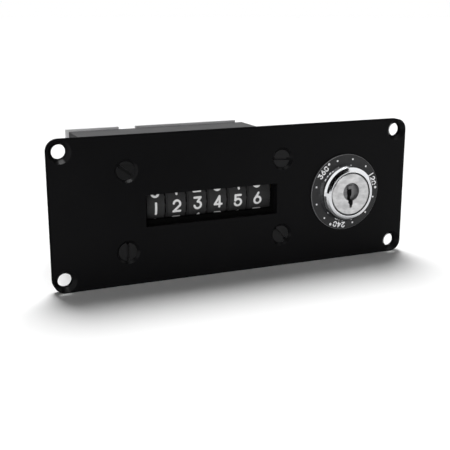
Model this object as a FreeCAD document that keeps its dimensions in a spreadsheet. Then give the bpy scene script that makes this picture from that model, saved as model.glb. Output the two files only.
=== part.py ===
import FreeCAD, Part
import math
import os
import Sketcher

# Panel counter with a key reset.
# The origin is the centre of the plate's hole pattern on its rear face.
# X runs to the right as seen from the front, Y runs back, Z runs up. Lengths are in millimetres.

doc = FreeCAD.newDocument("PanelCounter")
sheet = doc.addObject("Spreadsheet::Sheet", "Sizes")
sheet.Label = "driving dimensions"
Vector = FreeCAD.Vector
Rotation = FreeCAD.Rotation
Placement = FreeCAD.Placement
DIRECTIONS = {"x": Vector(1, 0, 0), "y": Vector(0, 1, 0), "z": Vector(0, 0, 1)}
nodes = []


class Size:
    """A length that knows its number and the sheet formula it comes from."""

    def __init__(self, number, formula):
        self.number = number
        self.formula = formula

    def __add__(self, other):
        return Size(self.number + number_of(other), "(" + self.formula + " + " + formula_of(other) + ")")

    def __radd__(self, other):
        return self + other

    def __sub__(self, other):
        return Size(self.number - number_of(other), "(" + self.formula + " - " + formula_of(other) + ")")

    def __rsub__(self, other):
        return Size(number_of(other) - self.number, "(" + formula_of(other) + " - " + self.formula + ")")

    def __mul__(self, factor):
        return Size(self.number * number_of(factor), "(" + self.formula + " * " + formula_of(factor) + ")")

    def __rmul__(self, factor):
        return self * factor

    def __truediv__(self, other):
        return Size(self.number / number_of(other), "(" + self.formula + " / " + formula_of(other) + ")")

    def __neg__(self):
        return Size(-self.number, "(0 - " + self.formula + ")")


def number_of(value):
    return value.number if isinstance(value, Size) else float(value)


def formula_of(value):
    return value.formula if isinstance(value, Size) else repr(float(value))


def size(name, number):
    """Write one driving dimension in the sheet and hand it back."""
    size.row += 1
    cell = str(size.row)
    sheet.set("A" + cell, name)
    sheet.set("B" + cell, str(number))
    sheet.setAlias("B" + cell, name)
    return Size(float(number), "Sizes." + name)


size.row = 0


def drive(thing, name, value):
    """Let a sheet formula drive one property of a document object."""
    if isinstance(value, Size):
        thing.setExpression(name, value.formula)
    elif not name.startswith("."):
        setattr(thing, name, value)


def place(thing, x=0, y=0, z=0, axis="x", degrees=0):
    turn = Rotation(DIRECTIONS[axis], degrees)
    thing.Placement = Placement(Vector(number_of(x), number_of(y), number_of(z)), turn)
    for letter, value in (("x", x), ("y", y), ("z", z)):
        drive(thing, ".Placement.Base." + letter, value)
    return thing


def node(thing, label):
    thing.Label = label
    nodes.append(thing)
    return thing


def box(x0, x1, y0, y1, z0, z1):
    thing = doc.addObject("Part::Box", "Block")
    drive(thing, "Length", x1 - x0)
    drive(thing, "Width", y1 - y0)
    drive(thing, "Height", z1 - z0)
    return place(thing, x0, y0, z0)


def rod(along, start, end, radius, first, second):
    """A cylinder along x, y or z. The last two values are its centre's other coordinates."""
    thing = doc.addObject("Part::Cylinder", "Rod")
    drive(thing, "Radius", radius)
    drive(thing, "Height", end - start)
    if along == "x":
        return place(thing, start, first, second, "y", 90)
    if along == "y":
        return place(thing, first, start, second, "x", -90)
    return place(thing, first, second, start)


def cone(start, end, start_radius, end_radius, x, z):
    """A cone along y."""
    thing = doc.addObject("Part::Cone", "Cone")
    drive(thing, "Radius1", start_radius)
    drive(thing, "Radius2", end_radius)
    drive(thing, "Height", end - start)
    return place(thing, x, start, z, "x", -90)


def join(shapes):
    thing = doc.addObject("Part::MultiFuse", "Join")
    thing.Shapes = shapes
    return thing


def cut(base, tools):
    thing = doc.addObject("Part::Cut", "Cut")
    thing.Base = base
    thing.Tool = tools[0] if len(tools) == 1 else join(tools)
    return thing


def ring(along, start, end, outer, inner, first, second):
    bore = rod(along, start - 1, end + 1, inner, first, second)
    return cut(rod(along, start, end, outer, first, second), [bore])


def body(label):
    return node(doc.addObject("PartDesign::Body", label), label)


def sketch(owner, role, offset=0):
    """A sketch on one of the body's own origin planes, moved along that plane's normal."""
    thing = owner.newObject("Sketcher::SketchObject", "Sketch")
    plane = [feature for feature in owner.Origin.OriginFeatures if feature.Role == role][0]
    thing.AttachmentSupport = [(plane, "")]
    thing.MapMode = "FlatFace"
    thing.AttachmentOffset = Placement(Vector(0, 0, number_of(offset)), Rotation())
    drive(thing, ".AttachmentOffset.Base.z", offset)
    return thing


def hold(drawing, element, point, values):
    """Tie one point of a sketch to its two sheet-driven coordinates."""
    for kind, axis_line, value in (("DistanceX", -2, values[0]), ("DistanceY", -1, values[1])):
        number = number_of(value)
        if abs(number) < 1e-9:
            drawing.addConstraint(Sketcher.Constraint("PointOnObject", element, point, axis_line))
            continue
        count = drawing.addConstraint(Sketcher.Constraint(kind, -1, 1, element, point, number))
        if isinstance(value, Size):
            drawing.setExpression("Constraints[" + str(count) + "]", value.formula)


def outline(drawing, points):
    """A closed outline of straight lines."""
    flat = [Vector(number_of(first), number_of(second), 0) for first, second in points]
    start = drawing.GeometryCount
    for index in range(len(flat)):
        drawing.addGeometry(Part.LineSegment(flat[index], flat[(index + 1) % len(flat)]), False)
    for index in range(len(flat)):
        following = start + (index + 1) % len(flat)
        drawing.addConstraint(Sketcher.Constraint("Coincident", start + index, 2, following, 1))
    for index in range(len(flat)):
        hold(drawing, start + index, 1, points[index])


def circle(drawing, first, second, radius):
    centre = Vector(number_of(first), number_of(second), 0)
    element = drawing.addGeometry(Part.Circle(centre, Vector(0, 0, 1), number_of(radius)), False)
    hold(drawing, element, 3, (first, second))
    count = drawing.addConstraint(Sketcher.Constraint("Radius", element, number_of(radius)))
    if isinstance(radius, Size):
        drawing.setExpression("Constraints[" + str(count) + "]", radius.formula)


def pad(owner, drawing, length):
    thing = owner.newObject("PartDesign::Pad", "Pad")
    thing.Profile = (drawing, [""])
    drive(thing, "Length", length)
    return thing


def pocket(owner, drawing, depth, both_ways=False):
    thing = owner.newObject("PartDesign::Pocket", "Pocket")
    thing.Profile = (drawing, [""])
    drive(thing, "Length", depth)
    thing.Midplane = both_ways
    return thing


def revolve(owner, drawing, line):
    thing = owner.newObject("PartDesign::Revolution", "Turned")
    thing.Profile = (drawing, [""])
    thing.ReferenceAxis = (drawing, [line])
    thing.Angle = 360
    return thing


def repeat_around(owner, feature, drawing, count):
    """Repeat a feature round the normal of its sketch."""
    thing = owner.newObject("PartDesign::PolarPattern", "Around")
    thing.Originals = [feature]
    thing.Axis = (drawing, ["N_Axis"])
    thing.Angle = 360
    thing.Occurrences = count
    owner.Tip = thing
    return thing


def countersunk(owner, drawing, bore, mouth):
    doc.recompute()
    thing = owner.newObject("PartDesign::Hole", "Countersunk")
    thing.Profile = (drawing, [""])
    doc.recompute()
    thing.ThreadType = "None"
    drive(thing, "Diameter", bore)
    thing.DepthType = "ThroughAll"
    thing.HoleCutType = "Countersink"
    thing.HoleCutCustomValues = True
    drive(thing, "HoleCutDiameter", mouth)
    thing.HoleCutCountersinkAngle = 90
    return thing


def tooth_outline(root, tip, root_width, tip_width):
    """A trapezium tooth that points along the sketch's first axis."""
    return [(root, -root_width / 2), (tip, -tip_width / 2), (tip, tip_width / 2), (root, root_width / 2)]


# Plate and its holes
plate_width = size("plate_width", 132)
plate_height = size("plate_height", 50)
plate_thickness = size("plate_thickness", 3)
plate_corner = size("plate_corner_radius", 4)
edge_break = size("edge_break", 0.2)
hole_pitch_x = size("hole_pitch_x", 124)
hole_pitch_z = size("hole_pitch_z", 42)
hole_bore = size("hole_bore", 4.8)
hole_mouth = size("hole_mouth", 7.4)
window_left = size("window_left", -34.45)
window_right = size("window_right", 13.6)
window_bottom = size("window_bottom", -5.7)
window_top = size("window_top", 5.05)

# Mask that frames the figures behind the window
mask_left = size("mask_left", -33.9)
mask_right = size("mask_right", 12.9)
mask_bottom = size("mask_bottom", -4.2)
mask_top = size("mask_top", 4.9)
mask_thickness = size("mask_thickness", 1)
mask_gap = size("mask_gap", 0.1)

# Screws that hold the counter to the plate
screw_left = size("screw_left", -40.8)
screw_right = size("screw_right", 15.45)
screw_height = size("screw_height", 13.6)
screw_bore = size("screw_bore", 3.8)
screw_mouth = size("screw_mouth", 8)
screw_head = size("screw_head", 6.2)
screw_shank = size("screw_shank", 3.5)
screw_sunk = size("screw_sunk", 0.8)
screw_reach = size("screw_reach", 10)
slot_width = size("slot_width", 0.9)
slot_depth = size("slot_depth", 0.8)

# Case
case_left = size("case_left", -47.8)
case_right = size("case_right", 21.9)
case_half_height = size("case_half_height", 20)
case_depth = size("case_depth", 46)
case_wall = size("case_wall", 1.6)
case_front = size("case_front_wall", 2)
post_radius = size("post_radius", 3)
opening_side = size("opening_side_margin", 1.5)
opening_rise = size("opening_rise_margin", 2.2)
cover_left = size("cover_left", -48.9)
cover_right = size("cover_right", 19)
cover_half_height = size("cover_half_height", 20.85)
cover_thickness = size("cover_thickness", 1.5)
notch_left = size("notch_left", -28.8)
notch_right = size("notch_right", -22.1)
notch_depth = size("notch_depth", 2.4)
cover_bore = size("cover_screw_bore_radius", 1.5)
cover_shank = size("cover_screw_shank_radius", 1.45)
cover_head = size("cover_screw_head_radius", 2.6)
cover_head_height = size("cover_screw_head_height", 1.7)
cover_screw_reach = size("cover_screw_reach", 9)
small_slot_width = size("small_slot_width", 0.8)
small_slot_depth = size("small_slot_depth", 0.8)
frame_thickness = size("frame_thickness", 1.2)
frame_clearance = size("frame_clearance", 0.3)
running_gap = size("running_gap", 0.05)
side_play = size("side_play", 0.1)

# Number wheels
wheel_y = size("wheel_axis_y", 11.1)
wheel_z = size("wheel_axis_z", -0.2)
wheel_first = size("wheel_first_x", -29.55)
wheel_pitch = size("wheel_pitch", 7.54)
wheel_radius = size("wheel_radius", 9.5)
wheel_half = size("wheel_half_width", 3.15)
wheel_rim = size("wheel_rim_inner", 7)
wheel_hub = size("wheel_hub_radius", 3.4)
wheel_hub_half = size("wheel_hub_half", 3.7)
wheel_web_half = size("wheel_web_half", 0.6)
last_drum = size("last_drum_right", 4.9)
last_hub = size("last_hub_right", 6.9)
ring_width = size("gear_ring_width", 0.45)
gear_root = size("gear_root_radius", 7.8)
gear_tip = size("gear_tip_radius", 9.2)
lock_ring = size("locking_ring_radius", 9)
star_inner = size("star_inner_radius", 5.2)
star_root = size("star_root_radius", 6.4)
star_tip = size("star_tip_radius", 8)
star_width = size("star_width", 1.8)
star_tooth_root = size("star_tooth_root_width", 2.2)
star_tooth_tip = size("star_tooth_tip_width", 0.8)
gear_tooth_root = size("gear_tooth_root_width", 1.3)
gear_tooth_tip = size("gear_tooth_tip_width", 0.65)

# Reset shaft and what carries it
shaft_radius = size("shaft_radius", 2)
shaft_past_arm = size("shaft_past_arm", 1.8)
groove_width = size("shaft_groove_width", 0.8)
groove_depth = size("shaft_groove_depth", 0.5)
collar_radius = size("shaft_collar_radius", 3.2)
collar_width = size("shaft_collar_width", 1.5)
bush_radius = size("bush_radius", 3)
bush_flange = size("bush_flange_radius", 4)
bush_flange_width = size("bush_flange_width", 0.9)
clip_radius = size("clip_radius", 3.5)
clip_inner = size("clip_inner_radius", 1.66)
clip_width = size("clip_width", 0.5)
gear_pin = size("gear_pin_radius", 0.58)
gear_pin_half = size("gear_pin_half_length", 3.7)

# Carry pinions
carry_offset = size("carry_offset", 8.514)
pinion_root = size("pinion_root_radius", 2.64)
pinion_tip = size("pinion_tip_radius", 4.02)
pinion_hub = size("pinion_hub_radius", 1.7)
pinion_tooth_root = size("pinion_tooth_root_width", 0.95)
pinion_tooth_tip = size("pinion_tooth_tip_width", 0.52)
pinion_pin = size("pinion_pin_radius", 0.9)
spacer_radius = size("spacer_radius", 1.3)

# Lock
lock_x = size("lock_x", 40.6)
dial_radius = size("dial_radius", 13.8)
dial_thickness = size("dial_thickness", 0.8)
dial_chamfer = size("dial_chamfer", 0.15)
bezel_radius = size("bezel_radius", 10.5)
bezel_rim = size("bezel_rim_radius", 8.2)
bezel_front = size("bezel_front", 7.8)
plug_gap = size("plug_gap", 0.3)
barrel_radius = size("barrel_radius", 8)
barrel_end = size("barrel_end", 4.3)
plug_face = size("plug_face_radius", 7.6)
plug_core = size("plug_core_radius", 6.5)
plug_tail = size("plug_tail_radius", 3.55)
shoulder = size("plug_shoulder", 4.5)
recess_radius = size("keyhole_recess_radius", 3.25)
recess_x = size("keyhole_recess_x", 0.1)
recess_z = size("keyhole_recess_z", 0.85)
recess_depth = size("keyhole_recess_depth", 1.3)
tab_top = size("keyhole_tab_top", 3)
tab_sunk = size("keyhole_tab_sunk", 0.4)
tab_half = size("keyhole_tab_half_width", 0.8)
keyway_top = size("keyway_top", 1.8)
keyway_bottom = size("keyway_bottom", -4.9)
keyway_depth = size("keyway_depth", 9)
wafer_first = size("wafer_first_y", -4.2)
wafer_pitch = size("wafer_pitch", 1.9)
wafer_half_x = size("wafer_half_width", 2.8)
wafer_half_z = size("wafer_half_height", 5.3)
wafer_thickness = size("wafer_thickness", 0.9)
wafer_gap = size("wafer_gap", 0.1)
washer_radius = size("washer_radius", 11)
washer_thickness = size("washer_thickness", 0.8)
nut_radius = size("nut_corner_radius", 12.1)
nut_thickness = size("nut_thickness", 2.6)

# Mitre gears
gear_far = size("mitre_far_plane", 5)
gear_near = size("mitre_near_plane", 2.88)
mitre_root = size("mitre_root_slope", 0.787)
mitre_tip = size("mitre_tip_slope", 1.183)
mitre_hub = size("mitre_hub_radius", 3.9)
plug_gear_hub = size("plug_gear_hub_length", 1.6)
shaft_gear_hub = size("shaft_gear_hub_length", 4.4)
tail_screw = size("tail_screw_radius", 1.25)
tail_screw_bore = size("tail_screw_bore_radius", 1.3)
tail_screw_head = size("tail_screw_head_radius", 2.2)
tail_screw_head_height = size("tail_screw_head_height", 1.3)
tail_screw_reach = size("tail_screw_reach", 2.3)

# Magnet and armature
coil_x = size("coil_x", -4)
coil_z = size("coil_z", -4)
core_face = size("core_face_y", 28)
core_radius = size("core_radius", 3)
flange_radius = size("flange_radius", 8.3)
yoke_thickness = size("yoke_thickness", 1.6)
pivot_y = size("pivot_y", 22.5)
pivot_z = size("pivot_z", 4.5)
pivot_radius = size("pivot_radius", 1)
armature_face = size("armature_face_y", 25.6)
armature_thickness = size("armature_thickness", 1.4)
armature_hub = size("armature_hub_radius", 2)
core_neck = size("core_neck_radius", 2)
yoke_half = size("yoke_half_width", 5)
yoke_top = size("yoke_top", 12)
yoke_screw_z = size("yoke_screw_z", 9)
yoke_screw_side = size("yoke_screw_side", 3)
yoke_screw = size("yoke_screw_radius", 1.2)
yoke_screw_head = size("yoke_screw_head_radius", 2.1)
flange_width = size("flange_width", 1)
verge_width = size("verge_width", 1.5)
finger_length = size("finger_length", 8)
finger_height = size("finger_height", 1.6)
pin_head = size("armature_pin_head_radius", 1.8)
pin_head_width = size("armature_pin_head_width", 0.8)
spring_radius = size("spring_radius", 1.55)
spring_wire = size("spring_wire_radius", 0.18)
spring_pitch = size("spring_pitch", 0.5)

# Frame arms and terminal block
right_arm = size("right_arm_x", 16.6)
left_arm = size("left_arm_x", -35.5)
arm_front = size("arm_front", 4)
arm_half = size("arm_half_height", 10.2)
block_left = size("block_left", -31)
block_right = size("block_right", -21)
block_low = size("block_low", 2)
block_high = size("block_high", 10)
block_rim = size("block_rim", 1)
terminal_thickness = size("terminal_thickness", 0.8)
terminal_length = size("terminal_length", 8.5)
terminal_hole = size("terminal_hole_radius", 0.8)

doc.recompute()

half_width = plate_width / 2
half_height = plate_height / 2
case_inner_left = case_left + case_wall
case_inner_right = case_right - case_wall
case_inner_half = case_half_height - case_wall
web_front = case_depth - frame_thickness
posts = [(x, z) for x in (screw_left, screw_right) for z in (screw_height, -screw_height)]
axle = (wheel_y, wheel_z)
wheel_x = [wheel_first + wheel_pitch * index for index in range(6)]
carry_axis = (wheel_y + carry_offset, wheel_z + carry_offset)
opening_left = window_left - opening_side
opening_right = window_right + opening_side
opening_bottom = window_bottom - opening_rise
opening_top = window_top + opening_rise
bush_bore = bush_radius + running_gap

# Face plate
faceplate = body("faceplate")
drawing = sketch(faceplate, "XZ_Plane")
corners = [(-half_width, -half_height), (half_width, -half_height)]
corners += [(half_width, half_height), (-half_width, half_height)]
outline(drawing, corners)
slab = pad(faceplate, drawing, plate_thickness)
doc.recompute()
rounding = faceplate.newObject("PartDesign::Fillet", "Corners")
names = []
for index, edge in enumerate(slab.Shape.Edges):
    if edge.BoundBox.YLength > 1:
        names.append("Edge" + str(index + 1))
rounding.Base = (slab, names)
drive(rounding, "Radius", plate_corner)
doc.recompute()
names = []
for index, edge in enumerate(rounding.Shape.Edges):
    if edge.BoundBox.YMax < -plate_thickness.number + 0.01:
        names.append("Edge" + str(index + 1))
broken = faceplate.newObject("PartDesign::Chamfer", "FrontEdge")
broken.Base = (rounding, names)
drive(broken, "Size", edge_break)
doc.recompute()
drawing = sketch(faceplate, "XZ_Plane", plate_thickness)
outline(drawing, [(window_left, window_bottom), (window_right, window_bottom),
                  (window_right, window_top), (window_left, window_top)])
circle(drawing, lock_x, wheel_z, barrel_radius + 2 * running_gap)
pocket(faceplate, drawing, plate_thickness + 1)
drawing = sketch(faceplate, "XZ_Plane", plate_thickness)
for x in (-hole_pitch_x / 2, hole_pitch_x / 2):
    for z in (-hole_pitch_z / 2, hole_pitch_z / 2):
        circle(drawing, x, z, hole_bore / 2)
countersunk(faceplate, drawing, hole_bore, hole_mouth)
drawing = sketch(faceplate, "XZ_Plane", plate_thickness)
for x, z in posts:
    circle(drawing, x, z, screw_bore / 2)
countersunk(faceplate, drawing, screw_bore, screw_mouth)

# Counter screws, with each slot left as it stands in the photograph
head_front = screw_sunk - plate_thickness
screws = []
for (x, z), angle in zip(posts, (37, 90, 4, 46)):
    head_back = head_front + (screw_head - screw_shank) / 2
    head = cone(head_front, head_back, screw_head / 2, screw_shank / 2, x, z)
    shank = rod("y", head_back - 0.2, screw_reach, screw_shank / 2, x, z)
    slot = doc.addObject("Part::Box", "Slot")
    drive(slot, "Length", screw_head + 2)
    drive(slot, "Width", slot_depth + 1)
    drive(slot, "Height", slot_width)
    turn = Rotation(DIRECTIONS["y"], angle)
    corner = turn.multVec(Vector(-screw_head.number / 2 - 1, -1, -slot_width.number / 2))
    slot.Placement = Placement(Vector(x.number, head_front.number, z.number) + corner, turn)
    screws.append(cut(join([head, shank]), [slot]))
node(join(screws), "counter_screws")

# Case: a box open at the back, four posts, an opening behind the window and a shaft hole
shell = cut(box(case_left, case_right, 0, case_depth, -case_half_height, case_half_height),
            [box(case_inner_left, case_inner_right, case_front, case_depth + 1,
                 -case_inner_half, case_inner_half)])
solid_posts = [rod("y", 0.5 * case_front, web_front, post_radius, x, z) for x, z in posts]
openings = [box(opening_left, opening_right, -case_front, case_front + 1, opening_bottom, opening_top)]
for x, z in posts:
    openings.append(rod("y", -case_front, screw_reach + 2, screw_shank / 2 + running_gap, x, z))
    openings.append(rod("y", web_front - cover_screw_reach - 3, web_front + 1, cover_bore, x, z))
openings.append(rod("x", case_right - 3, case_right + 1, bush_bore, *axle))
node(cut(join([shell] + solid_posts), openings), "case_body")

# Mask in the case's opening, flat against the plate
mask = box(opening_left + mask_gap, opening_right - mask_gap, 0, mask_thickness,
           opening_bottom + mask_gap, opening_top - mask_gap)
node(cut(mask, [box(mask_left, mask_right, -case_front, mask_thickness + 1, mask_bottom, mask_top)]),
     "window_mask")

# Rear cover with its notch, and the terminal block's hole
cover_back = case_depth + cover_thickness
rear_cover = body("rear_cover")
drawing = sketch(rear_cover, "XZ_Plane", -cover_back)
notch_floor = cover_half_height - notch_depth
outline(drawing, [(cover_left, -cover_half_height), (cover_right, -cover_half_height),
                  (cover_right, cover_half_height), (notch_right, cover_half_height),
                  (notch_right, notch_floor), (notch_left, notch_floor),
                  (notch_left, cover_half_height), (cover_left, cover_half_height)])
pad(rear_cover, drawing, cover_thickness)
drawing = sketch(rear_cover, "XZ_Plane", -case_depth)
outline(drawing, [(block_left - side_play, block_low - side_play),
                  (block_right + side_play, block_low - side_play),
                  (block_right + side_play, block_high + side_play),
                  (block_left - side_play, block_high + side_play)])
for x, z in posts:
    circle(drawing, x, z, cover_bore)
pocket(rear_cover, drawing, cover_thickness + 1)

screws = []
for x, z in posts:
    head_top = cover_back + cover_head_height
    head = rod("y", cover_back, head_top, cover_head, x, z)
    shank = rod("y", web_front - cover_screw_reach, cover_back + 0.5, cover_shank, x, z)
    slot = box(x - cover_head - 1, x + cover_head + 1, head_top - small_slot_depth, head_top + 1,
               z - small_slot_width / 2, z + small_slot_width / 2)
    screws.append(cut(join([head, shank]), [slot]))
node(join(screws), "rear_cover_screws")

# Frame: rear web and two arms that carry the shafts
web = box(case_inner_left + frame_clearance, case_inner_right - frame_clearance, web_front, case_depth,
          frame_clearance - case_inner_half, case_inner_half - frame_clearance)
arms = [box(x, x + frame_thickness, arm_front, web_front + 0.5, -arm_half, arm_half)
        for x in (left_arm, right_arm)]
frame_holes = []
for x in (left_arm, right_arm):
    frame_holes.append(rod("x", x - 1, x + frame_thickness + 1, bush_bore, *axle))
    frame_holes.append(rod("x", x - 1, x + frame_thickness + 1, pinion_pin + running_gap, *carry_axis))
frame_holes.append(rod("x", right_arm - 1, right_arm + 3, pivot_radius + running_gap, pivot_y, pivot_z))
for x, z in posts:
    frame_holes.append(rod("y", web_front - 1, case_depth + 1, cover_bore, x, z))
frame_holes.append(box(block_left - side_play, block_right + side_play, web_front - 1, case_depth + 1,
                       block_low - side_play, block_high + side_play))
yoke_screw_places = [(coil_x - yoke_screw_side, yoke_screw_z), (coil_x + yoke_screw_side, yoke_screw_z)]
for x, z in yoke_screw_places:
    frame_holes.append(rod("y", web_front - 1, case_depth + 1, yoke_screw + running_gap, x, z))
node(cut(join([web] + arms), frame_holes), "mechanism_frame")

# Dial ring and lock
plate_front = -plate_thickness
dial_front = plate_front - dial_thickness
dial_edge = dial_front + dial_chamfer
dial_blank = join([rod("y", dial_edge, plate_front, dial_radius, lock_x, wheel_z),
                   cone(dial_front, dial_edge, dial_radius - dial_chamfer, dial_radius, lock_x, wheel_z)])
dial_bore = rod("y", dial_front - 1, plate_front + 1, barrel_radius + 2 * running_gap, lock_x, wheel_z)
node(cut(dial_blank, [dial_bore]), "dial_ring")

lock_barrel = body("lock_barrel")
place(lock_barrel, lock_x, 0, wheel_z)
drawing = sketch(lock_barrel, "XY_Plane")
dome_height = bezel_front + dial_front
profile = [(barrel_radius, barrel_end), (barrel_radius, dial_front)]
for step in range(5):
    angle = math.radians(18 * step)
    profile.append((bezel_rim + (bezel_radius - bezel_rim) * math.cos(angle),
                    dial_front - dome_height * math.sin(angle)))
plug_room = plug_face + plug_gap
tail_wall = barrel_end - 1.5
profile += [(bezel_rim, -bezel_front), (plug_room, -bezel_front), (plug_room, -shoulder),
            (plug_core + running_gap, -shoulder), (plug_core + running_gap, tail_wall),
            (plug_tail + running_gap, tail_wall), (plug_tail + running_gap, barrel_end)]
outline(drawing, profile)
revolve(lock_barrel, drawing, "V_Axis")

washer = rod("y", 0, washer_thickness, washer_radius, lock_x, wheel_z)
washer_bore = rod("y", -plate_thickness, barrel_end, barrel_radius + 2 * running_gap, lock_x, wheel_z)
node(cut(washer, [washer_bore]), "lock_washer")
hexagon = doc.addObject("Part::Prism", "Hexagon")
hexagon.Polygon = 6
drive(hexagon, "Circumradius", nut_radius)
drive(hexagon, "Height", nut_thickness)
place(hexagon, lock_x, washer_thickness, wheel_z, "x", -90)
nut_bore = rod("y", 0, washer_thickness + nut_thickness + 1, barrel_radius + running_gap, lock_x, wheel_z)
node(cut(hexagon, [nut_bore]), "lock_nut")

lock_plug = body("lock_plug")
place(lock_plug, lock_x, 0, wheel_z)
drawing = sketch(lock_plug, "XY_Plane")
tail_step = tail_wall - running_gap
outline(drawing, [(0, -bezel_front), (plug_face - 0.3, -bezel_front), (plug_face, 0.3 - bezel_front),
                  (plug_face, -shoulder - running_gap), (plug_core, -shoulder - running_gap),
                  (plug_core, tail_step), (plug_tail, tail_step),
                  (plug_tail, barrel_end + side_play), (0, barrel_end + side_play)])
revolve(lock_plug, drawing, "V_Axis")
drawing = sketch(lock_plug, "XZ_Plane", bezel_front)
circle(drawing, recess_x, recess_z, recess_radius)
pocket(lock_plug, drawing, recess_depth)
drawing = sketch(lock_plug, "XZ_Plane", bezel_front - recess_depth)
outline(drawing, [(-tab_half, keyway_top), (tab_half, keyway_top), (tab_half, tab_top), (-tab_half, tab_top)])
pad(lock_plug, drawing, recess_depth - tab_sunk)
drawing = sketch(lock_plug, "XZ_Plane", bezel_front)
outline(drawing, [(-0.95, keyway_top), (-0.95, 0.1), (-0.7, -0.2), (-0.7, -1.7), (-0.95, -2.1),
                  (-0.95, -3.1), (-0.45, -3.7), (-0.45, keyway_bottom), (0.6, keyway_bottom), (0.6, -4.2),
                  (0.9, -3.6), (0.9, -2.4), (0.6, -2), (0.6, -1.2), (1, -0.7), (1, keyway_top)])
pocket(lock_plug, drawing, keyway_depth)
wafer_y = [wafer_first + wafer_pitch * index for index in range(3)]
drawing = sketch(lock_plug, "YZ_Plane")
for y in wafer_y:
    outline(drawing, [(y - wafer_gap, -wafer_half_z - wafer_gap),
                      (y + wafer_thickness + wafer_gap, -wafer_half_z - wafer_gap),
                      (y + wafer_thickness + wafer_gap, wafer_half_z + wafer_gap),
                      (y - wafer_gap, wafer_half_z + wafer_gap)])
pocket(lock_plug, drawing, 2 * (wafer_half_x + wafer_gap), True)
drawing = sketch(lock_plug, "XZ_Plane", -barrel_end - side_play)
circle(drawing, 0, 0, tail_screw_bore)
tail_hole = pocket(lock_plug, drawing, tail_screw_reach + 0.5)
tail_hole.Reversed = True
wafers = []
for index, y in enumerate(wafer_y):
    leaf = box(lock_x - wafer_half_x, lock_x + wafer_half_x, y, y + wafer_thickness,
               wheel_z - wafer_half_z, wheel_z + wafer_half_z)
    low = wheel_z - 4.4 + 0.4 * index
    wafers.append(cut(leaf, [box(lock_x - 1.3, lock_x + 1.3, y - 1, y + 2, low, low + 5.2)]))
node(join(wafers), "lock_wafers")


def mitre_gear(label, hub_length, bore):
    """A mitre gear on the -X side of its apex, with a tooth that points along Y."""
    thing = body(label)
    drawing = sketch(thing, "XY_Plane")
    outline(drawing, [(-gear_far - hub_length, bore), (-gear_far - hub_length, mitre_hub),
                      (-gear_far, gear_far * mitre_root), (-gear_near, gear_near * mitre_root),
                      (-gear_near, bore)])
    revolve(thing, drawing, "H_Axis")
    sections = []
    for plane in (gear_far, gear_near):
        scale = plane / gear_far
        drawing = sketch(thing, "YZ_Plane", -plane)
        outline(drawing, tooth_outline(plane * mitre_root - 0.4 * scale, plane * mitre_tip,
                                       1.95 * scale, 0.44 * scale))
        sections.append(drawing)
    tooth = thing.newObject("PartDesign::AdditiveLoft", "Tooth")
    tooth.Profile = (sections[0], [""])
    tooth.Sections = [(sections[1], [""])]
    tooth.Ruled = True
    repeat_around(thing, tooth, sections[0], 12)
    return thing


plug_gear = mitre_gear("plug_gear", plug_gear_hub, tail_screw_bore + running_gap)
place(plug_gear, lock_x, wheel_y, wheel_z, "z", 90)
gear_end = wheel_y - gear_near
node(join([rod("y", gear_end, gear_end + tail_screw_head_height, tail_screw_head, lock_x, wheel_z),
           rod("y", barrel_end - tail_screw_reach, gear_end + 0.5, tail_screw, lock_x, wheel_z)]),
     "plug_gear_screw")
shaft_gear = mitre_gear("shaft_gear", shaft_gear_hub, shaft_radius + 0.01)
place(shaft_gear, lock_x, wheel_y, wheel_z, "x", 15)
pin_x = lock_x - gear_far - shaft_gear_hub / 2 - 0.4

# Reset shaft with its groove, and what carries it
shaft_left = left_arm - shaft_past_arm
shaft_end = lock_x - gear_near
collar_left = case_right + bush_flange_width + 0.3
plain_shaft = join([rod("x", shaft_left, shaft_end, shaft_radius, *axle),
                    rod("x", collar_left, collar_left + collar_width, collar_radius, *axle)])
groove = box(window_left + 1, window_right + 1, wheel_y - groove_width / 2, wheel_y + groove_width / 2,
             wheel_z + shaft_radius - groove_depth, wheel_z + shaft_radius + 1)
clip_at = left_arm - 0.95
clip_seat = ring("x", clip_at - running_gap, clip_at + clip_width + running_gap,
                 shaft_radius + 1, clip_inner - running_gap, *axle)
pin_room = gear_pin + 0.02
pin_hole = rod("z", wheel_z - 5, wheel_z + 5, pin_room, pin_x, wheel_y)
node(cut(plain_shaft, [groove, clip_seat, pin_hole]), "reset_shaft")
drilled = cut(shaft_gear, [rod("z", wheel_z - 5, wheel_z + 5, pin_room, pin_x, wheel_y)])
nodes.remove(shaft_gear)
shaft_gear.Label = "shaft_gear_blank"
node(drilled, "shaft_gear")
node(rod("z", wheel_z - gear_pin_half, wheel_z + gear_pin_half, gear_pin, pin_x, wheel_y), "shaft_gear_pin")
clip_ring = ring("x", clip_at, clip_at + clip_width, clip_radius, clip_inner, *axle)
clip_mouth = box(clip_at - 1, clip_at + 1, wheel_y - 1, wheel_y + 1, wheel_z - 5, wheel_z)
node(cut(clip_ring, [clip_mouth]), "shaft_clip")


def bush(label, tube_start, tube_end, flange_start):
    sleeve = rod("x", tube_start, tube_end, bush_radius, *axle)
    flange = rod("x", flange_start, flange_start + bush_flange_width, bush_flange, *axle)
    bore = rod("x", tube_start - 2, tube_end + 2, shaft_radius + running_gap, *axle)
    return node(cut(join([sleeve, flange]), [bore]), label)


left_inner = left_arm + frame_thickness
bush("shaft_bush_left", left_arm, left_inner + bush_flange_width, left_inner)
bush("shaft_bush_right", right_arm - bush_flange_width, right_arm + frame_thickness,
     right_arm - bush_flange_width)
bush("wall_bush", case_inner_right, case_right + bush_flange_width, case_right)

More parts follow.
